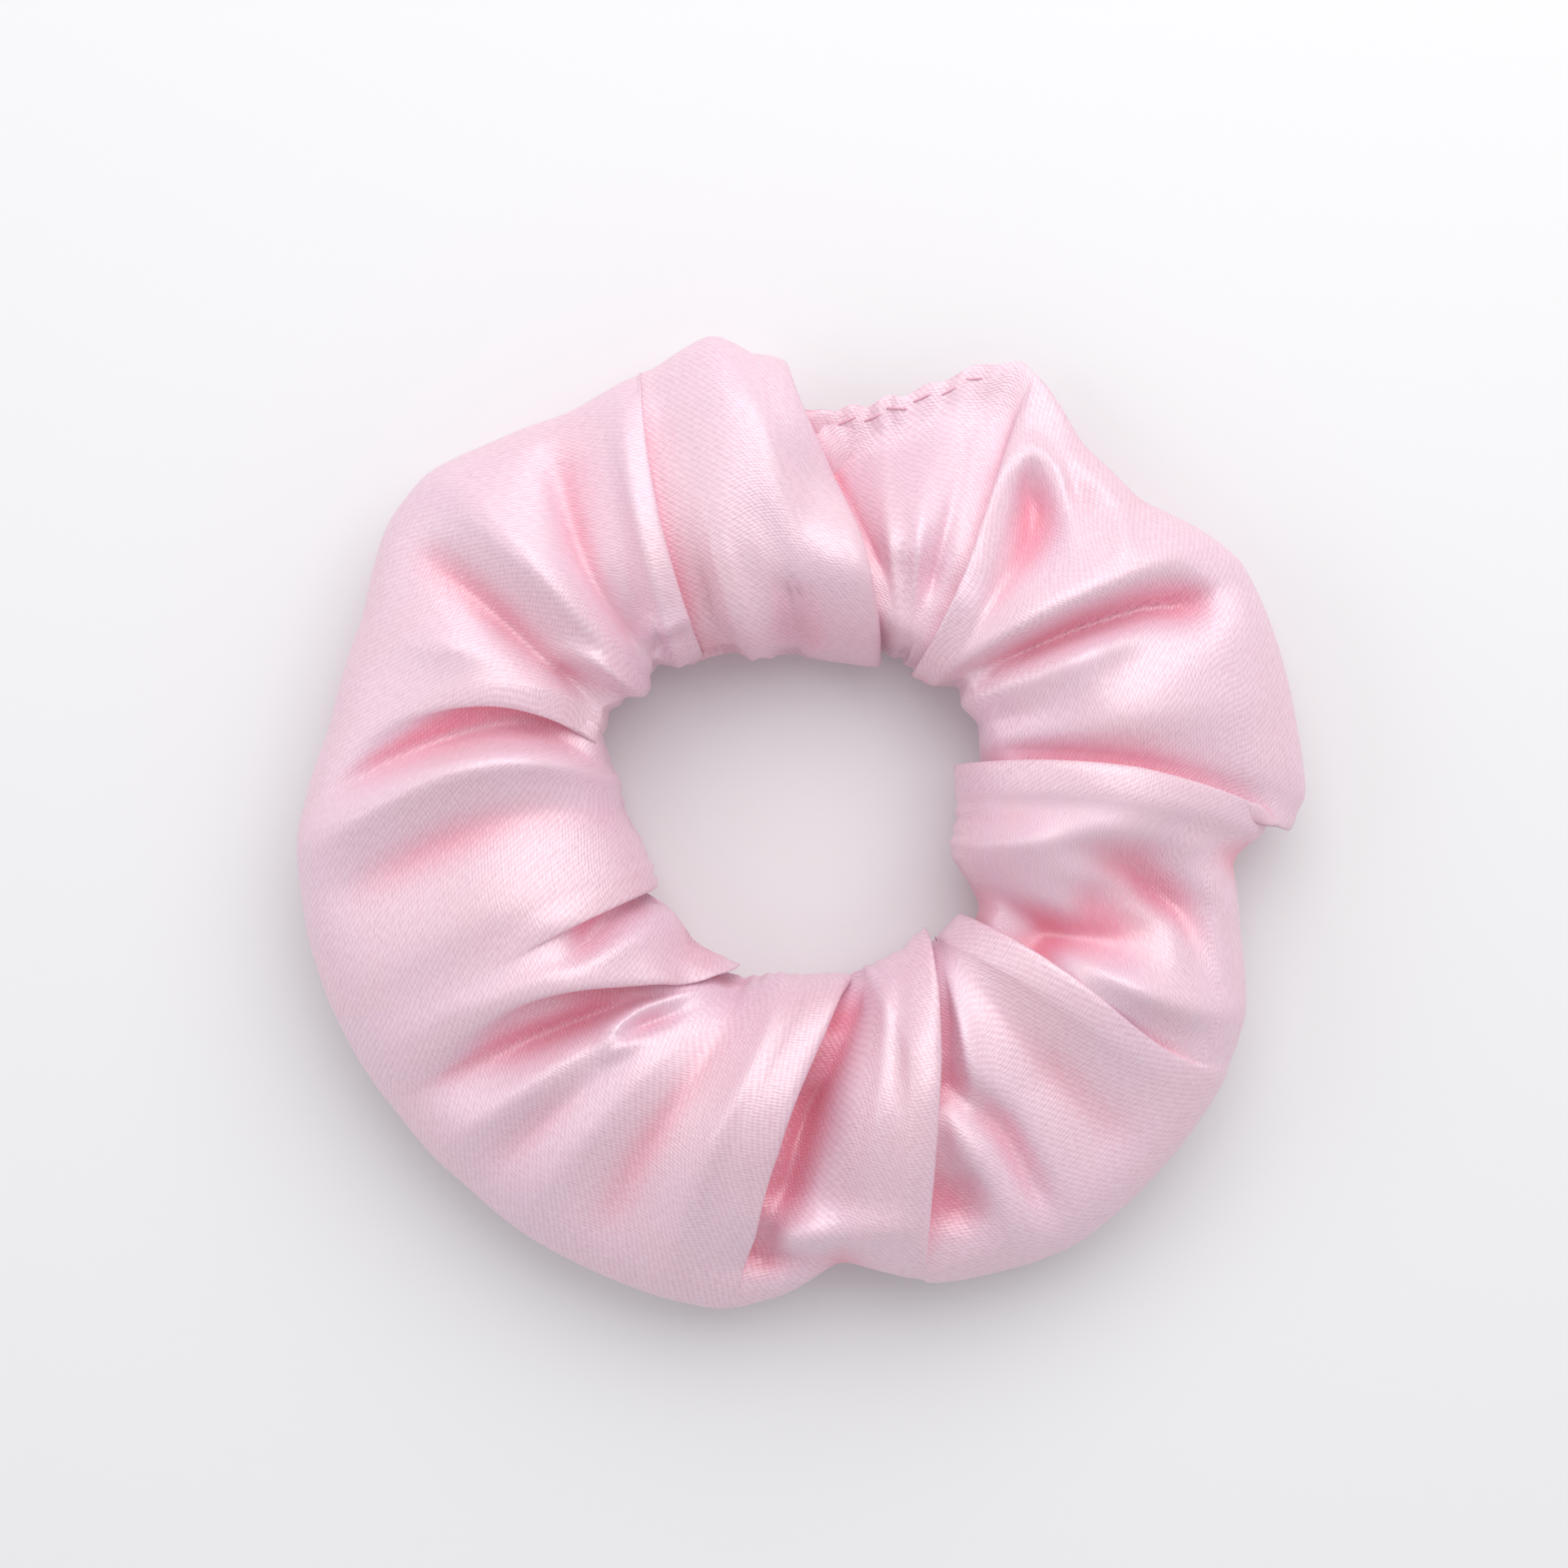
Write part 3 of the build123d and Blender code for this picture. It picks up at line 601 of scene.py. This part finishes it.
# The cover starts as a plain ring of cloth, whose points then move to their places.
tube_radius, plain_radius = 15.0, 36.0
cover_bm = bmesh.new()
bmesh.ops.create_circle(cover_bm, segments=across_count, radius=tube_radius)
bmesh.ops.rotate(cover_bm, verts=cover_bm.verts, matrix=Matrix.Rotation(pi / 2, 3, "X"))
bmesh.ops.translate(cover_bm, verts=cover_bm.verts, vec=(plain_radius, 0, 0))
bmesh.ops.spin(
    cover_bm, geom=cover_bm.verts[:] + cover_bm.edges[:], axis=(0, 0, 1), angle=2 * pi, steps=around_count,
    use_merge=True,
)
bmesh.ops.recalc_face_normals(cover_bm, faces=cover_bm.faces)
cover = add_piece("satin_cover", cover_bm, satin)

cover_mesh = cover.data
plain = np.empty(len(cover_mesh.vertices) * 3)
cover_mesh.vertices.foreach_get("co", plain)
plain = plain.reshape(-1, 3)
plain_angle = np.degrees(np.arctan2(plain[:, 1], plain[:, 0]))
plain_turn = np.degrees(np.arctan2(plain[:, 2], np.hypot(plain[:, 0], plain[:, 1]) - plain_radius))
column = np.rint(plain_angle / 360.0 * around_count).astype(int) % around_count
row = np.rint(plain_turn / 360.0 * across_count).astype(int) % across_count
shaped = shape_cloth(column * (cloth_length / around_count), row * (360.0 / across_count))
cloth_grid = np.empty((around_count, across_count, 3))
cloth_grid[column, row] = shaped


# Painted shade in the folds' hollows: a redder pink, for light that has passed through the cloth and off its
# neighbours.
full_hollow = 1.2  # depth in mm below the cloth around it at which a hollow is at its reddest


def smoothed(values, axis, half):
    """The mean over a few neighbours each way round the ring or round the tube."""
    return sum(np.roll(values, step, axis) for step in range(-half, half + 1)) / (2 * half + 1)


around_way = np.roll(cloth_grid, -1, 0) - np.roll(cloth_grid, 1, 0)
across_way = np.roll(cloth_grid, -1, 1) - np.roll(cloth_grid, 1, 1)
outwards = np.cross(around_way, across_way)
outwards /= np.linalg.norm(outwards, axis=2, keepdims=True) + 1e-9
broad = smoothed(smoothed(smoothed(cloth_grid, 0, 7), 0, 5), 1, 2)
hollow_grid = np.clip(((broad - cloth_grid) * outwards).sum(2) / full_hollow, 0.0, 1.0)
hollow_grid = smoothed(smoothed(hollow_grid, 0, 2), 1, 1)
cover_mesh.vertices.foreach_set("co", (shaped * mm).ravel())
hollow_attribute = cover_mesh.attributes.new("hollow", "FLOAT", "POINT")
hollow_attribute.data.foreach_set("value", hollow_grid[column, row].astype(np.float32))

# The weave's map, in mm along the cloth: each panel's is measured from its own middle, because the cloth
# between two panels is folded away under the lap.
steps_around = np.linalg.norm(np.roll(cloth_grid, -1, 0) - cloth_grid, axis=2)
steps_across = np.linalg.norm(np.roll(cloth_grid, -1, 1) - cloth_grid, axis=2)
way_around = np.concatenate([np.zeros((1, across_count)), np.cumsum(steps_around, axis=0)])
way_across = np.concatenate([np.zeros((around_count, 1)), np.cumsum(steps_across, axis=1)], axis=1)
corners = np.empty(len(cover_mesh.loops), int)
cover_mesh.loops.foreach_get("vertex_index", corners)
face_columns, face_rows = column[corners].reshape(-1, 4), row[corners].reshape(-1, 4)
face_columns += around_count * ((face_columns == 0) & (face_columns.max(1, keepdims=True) > 1))
face_rows += across_count * ((face_rows == 0) & (face_rows.max(1, keepdims=True) > 1))
lap_columns = (cloth_knots[:-1:2] + lap_cloth / 2) / cloth_length * around_count
panel = np.searchsorted(lap_columns, face_columns.mean(1)) % len(laps)
panel_starts = np.append(lap_columns, around_count + lap_columns[0])
middles = np.rint((panel_starts[panel - 1] + panel_starts[panel]) / 2).astype(int)
middles[panel == 0] = 0
rows_round = face_rows % across_count
u = way_around[face_columns, rows_round] - way_around[middles[:, None], rows_round]
v = way_across[face_columns % around_count, face_rows]
weave = cover_mesh.uv_layers.new(name="weave")
weave.uv.foreach_set("vector", np.stack([u, v], axis=2).astype(np.float32).ravel())

thickness = cover.modifiers.new("cloth thickness", "SOLIDIFY")
thickness.thickness = 0.2 * mm
thickness.offset = -1.0

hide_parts("satin_cover_left", "satin_cover_right")
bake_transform(cover)


# ---- The elastic ----
# A flat braided elastic, 5 x 1 mm, with lengthwise ribs. Its ends are lapped and tacked together. It runs
# loose inside the cover, near the hole, and is shorter than the cloth, which it draws up into gathers.
elastic_mat, elastic_shade, elastic_principled = new_material("white_elastic")
elastic_place = elastic_shade.out("ShaderNodeUVMap", {"uv_map": "braid"})
along_band = elastic_shade.out("ShaderNodeSeparateXYZ", output=0, Vector=elastic_place)
across_band = elastic_shade.out("ShaderNodeSeparateXYZ", output=1, Vector=elastic_place)
rib_pitch, pick_pitch = 0.62, 0.8  # mm
# the braid's yarns slant one way on one half of each rib and the other way on the other half: a herringbone
rib_side = elastic_shade.math("PINGPONG", across_band, rib_pitch / 2)
yarns = elastic_shade.math("SINE", (along_band + rib_side * 1.1) * (2 * pi / pick_pitch))
rib_wave = elastic_shade.math("COSINE", across_band * (2 * pi / rib_pitch))
braid = yarns * 0.6 + rib_wave * 0.4
fuzz = elastic_shade.out(
    "ShaderNodeTexNoise", {"noise_dimensions": "2D"}, Vector=elastic_place, Scale=3.0, Detail=4.0,
)
whiteness = (braid * 0.35 + fuzz * 0.5 + 0.15).clamp()
put(
    elastic_shade, elastic_principled,
    Base_Color=whiteness.mix((0.62, 0.60, 0.58, 1.0), (0.88, 0.87, 0.85, 1.0)),
    Roughness=fuzz * 0.2 + 0.62, Sheen_Weight=0.25, Specular_IOR_Level=0.3,
    Normal=elastic_shade.out("ShaderNodeBump", Height=braid + fuzz * 0.4, Strength=0.7, Distance=0.00012),
)

elastic_width, elastic_thickness = (elastic_high.z - elastic_low.z) / mm, 1.0
band_middle = (elastic_high.z + elastic_low.z) / 2 / mm
inner_ply = elastic_high.x / mm - elastic_thickness / 2  # from the axis to the middle of the inner ply
ply_gap, rib_depth = 0.02, 0.10
outer_ply = inner_ply + elastic_thickness + ply_gap
outer_end, lap_end, step_end, inner_end = 219.0, 245.0, 254.0, 605.0  # angles along the band, from end to end
band_steps, rib_steps = 600, 48
bend_radius, face_flatness = 2.0, 4.0  # of the plain bend that the band is made from
band_bm = bmesh.new()
bmesh.ops.create_circle(band_bm, segments=rib_steps, radius=0.5)
bmesh.ops.rotate(band_bm, verts=band_bm.verts, matrix=Matrix.Rotation(pi / 2, 3, "X"))
bmesh.ops.translate(band_bm, verts=band_bm.verts, vec=(bend_radius, 0, 0))
bmesh.ops.spin(band_bm, geom=band_bm.verts[:] + band_bm.edges[:], axis=(0, 0, 1), angle=pi, steps=band_steps)
bmesh.ops.holes_fill(band_bm, edges=[e for e in band_bm.edges if e.is_boundary], sides=rib_steps)
bmesh.ops.recalc_face_normals(band_bm, faces=band_bm.faces)
braid_uv = band_bm.loops.layers.uv.new("braid")
for face in band_bm.faces:
    for loop in face.loops:
        x, y, z = loop.vert.co
        way = np.arctan2(y, x) / pi
        if face.calc_center_median().y < 0.01 and way < -0.5:
            way += 2.0
        loop[braid_uv].uv = (way * radians(inner_end - outer_end) * inner_ply, z * elastic_width)
for vert in band_bm.verts:
    x, y, z = vert.co
    way = max(0.0, min(1.0, (np.arctan2(y, x) / pi) % 2.0)) if y > -1e-6 else 1.0
    angle = outer_end + (inner_end - outer_end) * way
    height = z * elastic_width
    rib = rib_depth * np.cos(2 * pi * height / rib_pitch)
    face_share = max(-1.0, min(1.0, (np.hypot(x, y) - bend_radius) * face_flatness))
    depth = face_share * (elastic_thickness / 2 - rib_depth + rib)
    ply = np.interp(angle, (lap_end, step_end), (outer_ply, inner_ply))
    reach = ply + depth
    across, along = reach * np.cos(radians(angle)), reach * np.sin(radians(angle))
    vert.co = (across * mm, along * mm, (band_middle + height) * mm)
band = add_piece("elastic_band", band_bm, elastic_mat)
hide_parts("elastic_band_left", "elastic_band_right")
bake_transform(band)


# ---- The threads ----
# Polyester sewing thread, 0.25 mm, in closed stitches: along the long seam, through the end seam, through
# the lapped elastic, and along the lip where the gap that the tube was turned through is sewn shut.
thread_mat, thread_shade, thread_principled = new_material("pink_thread")
thread_place = thread_shade.out("ShaderNodeTexCoord", output=3)
twist = thread_shade.out(
    "ShaderNodeTexWave", {"wave_type": "BANDS", "bands_direction": "DIAGONAL"}, output=1,
    Vector=thread_place, Scale=1400.0, Distortion=0.6,
)
put(
    thread_shade, thread_principled,
    Base_Color=twist.mix((0.800, 0.420, 0.520, 1.0), (0.930, 0.620, 0.700, 1.0)),
    Roughness=twist * -0.1 + 0.55, Sheen_Weight=0.2,
    Normal=thread_shade.out("ShaderNodeBump", Height=twist, Strength=0.4, Distance=0.00005),
)
thread_half = 0.125
stitch_length, stitch_gap = 2.4, 0.6
seam_plies = 0.6  # thickness of cloth that a seam's stitches pass through
slope_step = 1.0  # distance each side of a stitch over which its direction is taken
thread_turns, thread_sides = 12, 5  # steps round each loop, and sides of the thread


def add_stitch(bm, middle, along, through, length, plies):
    """One closed loop of thread, in mm, that runs along one way and passes through the plies the other."""
    ring = bmesh.ops.create_circle(bm, segments=thread_sides, radius=thread_half)["verts"]
    loop_radius = plies / 2 + thread_half
    bmesh.ops.rotate(bm, verts=ring, matrix=Matrix.Rotation(pi / 2, 3, "X"))
    bmesh.ops.translate(bm, verts=ring, vec=(loop_radius, 0, 0))
    edges = [e for e in bm.edges if e.verts[0] in ring and e.verts[1] in ring]
    before = set(bm.verts) - set(ring)
    bmesh.ops.spin(bm, geom=ring + edges, axis=(0, 0, 1), angle=2 * pi, steps=thread_turns, use_merge=True)
    verts = [v for v in bm.verts if v not in before]
    stretch = max(length / 2 - loop_radius - thread_half, 0.0)
    for vert in verts:
        vert.co.x += stretch if vert.co.x > 0 else -stretch
    along, through = Vector(along).normalized(), Vector(through).normalized()
    through = (through - along * through.dot(along)).normalized()
    turn = Matrix((along, through, along.cross(through))).transposed().to_4x4()
    bmesh.ops.transform(bm, verts=verts, matrix=Matrix.Scale(mm, 4) @ Matrix.Translation(middle) @ turn)


def sew(bm, line, through, plies, first=0.0, last=None):
    """Evenly spaced stitches along a line of points in mm."""
    steps = np.linalg.norm(np.diff(line, axis=0), axis=1)
    way = np.concatenate([[0.0], np.cumsum(steps)])
    last = way[-1] if last is None else last
    count = int((last - first) / (stitch_length + stitch_gap))
    pitch = (last - first) / max(count, 1)
    for i in range(count):
        middle = first + pitch * (i + 0.5)
        before, place, after = (
            [np.interp(s, way, line[:, k]) for k in range(3)]
            for s in (middle - slope_step, middle, middle + slope_step)
        )
        side = [np.interp(middle, way, through[:, k]) for k in range(3)]
        depth = np.interp(middle, way, plies)
        add_stitch(bm, place, np.subtract(after, before), side, stitch_length, depth)


def finish_thread(name, bm, *replaced):
    bmesh.ops.recalc_face_normals(bm, faces=bm.faces)
    piece = add_piece(name, bm, thread_mat)
    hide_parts(*replaced)
    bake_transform(piece)


up = np.array([0.0, 0.0, 1.0])
seam_inset = 1.4  # from the outside of the cover to the middle of a stitch, in mm
panel_first = np.ceil((cloth_knots[1:-1:2] + 1.0) / cloth_length * around_count).astype(int)
panel_stops = np.append(cloth_knots[2:-1:2], cloth_length)
panel_last = np.floor((panel_stops - 1.0) / cloth_length * around_count).astype(int)

side_bm = bmesh.new()
seam_rows = 10  # faces above and below the outer edge, whose middle shows the way inwards
inside = (cloth_grid[:, seam_rows] + cloth_grid[:, -seam_rows]) / 2
inwards = inside - cloth_grid[:, 0]
inwards /= np.linalg.norm(inwards, axis=1, keepdims=True)
side_line = cloth_grid[:, 0] + inwards * seam_inset
for i, (start, stop) in enumerate(zip(panel_first, panel_last)):
    if i != lip_panel:
        line = side_line[start:stop]
        sew(side_bm, line, np.tile(up, (len(line), 1)), np.full(len(line), seam_plies))
finish_thread("side_seam_thread", side_bm, "side_seam_thread_left", "side_seam_thread_right")

end_bm = bmesh.new()
end_seam_lap = 3  # the fourth lap, counted from the one at the right
seam_runs = ((9, 40), (57, 88))  # faces round the tube, over the top and underneath
seam_column = panel_first[end_seam_lap] + 2
seam_ring = cloth_grid[seam_column]
towards_middle = seam_ring.mean(0) - seam_ring
towards_middle /= np.linalg.norm(towards_middle, axis=1, keepdims=True)
seam_line = seam_ring + towards_middle * seam_inset
seam_angle = np.arctan2(seam_ring[:, 1].mean(), seam_ring[:, 0].mean())
across_seam = np.array([-np.sin(seam_angle), np.cos(seam_angle), 0.0])
for first, last in seam_runs:
    line = seam_line[first:last]
    sew(end_bm, line, np.tile(across_seam, (len(line), 1)), np.full(len(line), seam_plies))
finish_thread("end_seam_stitches", end_bm, "end_seam_thread")

# The gap's stitches show on both sides of the lip, in from its free edge.
lip_row, lip_margin, lip_ease = 7, 4, 0.1  # faces in from the free edge and from each end, and slack in mm
lip_columns = slice(panel_first[lip_panel] + lip_margin, panel_last[lip_panel] - lip_margin)
lip_bm = bmesh.new()
lip_top, lip_under = cloth_grid[lip_columns, lip_row], cloth_grid[lip_columns, -lip_row]
lip_through = lip_top - lip_under
sew(lip_bm, (lip_top + lip_under) / 2, lip_through, np.linalg.norm(lip_through, axis=1) + lip_ease)
finish_thread("lip_stitches", lip_bm, "closing_stitches")

tack_bm = bmesh.new()
tack_legs, tack_margin, tack_lean = 7, 0.7, 12.0
tack_reach = (inner_ply + outer_ply) / 2
for i in range(tack_legs):
    angle = radians(outer_end + (lap_end - outer_end) * (i + 1) / (tack_legs + 1))
    lean = radians(tack_lean if i % 2 else -tack_lean)
    tangent, outward = Vector((-np.sin(angle), np.cos(angle), 0)), Vector((np.cos(angle), np.sin(angle), 0))
    leg = Vector((0, 0, np.cos(lean))) + tangent * np.sin(lean)
    add_stitch(
        tack_bm, (*(outward * tack_reach).xy, band_middle), leg,
        outward, elastic_width - 2 * tack_margin, outer_ply - inner_ply + elastic_thickness,
    )
finish_thread("elastic_tacking", tack_bm, "elastic_tack_thread")
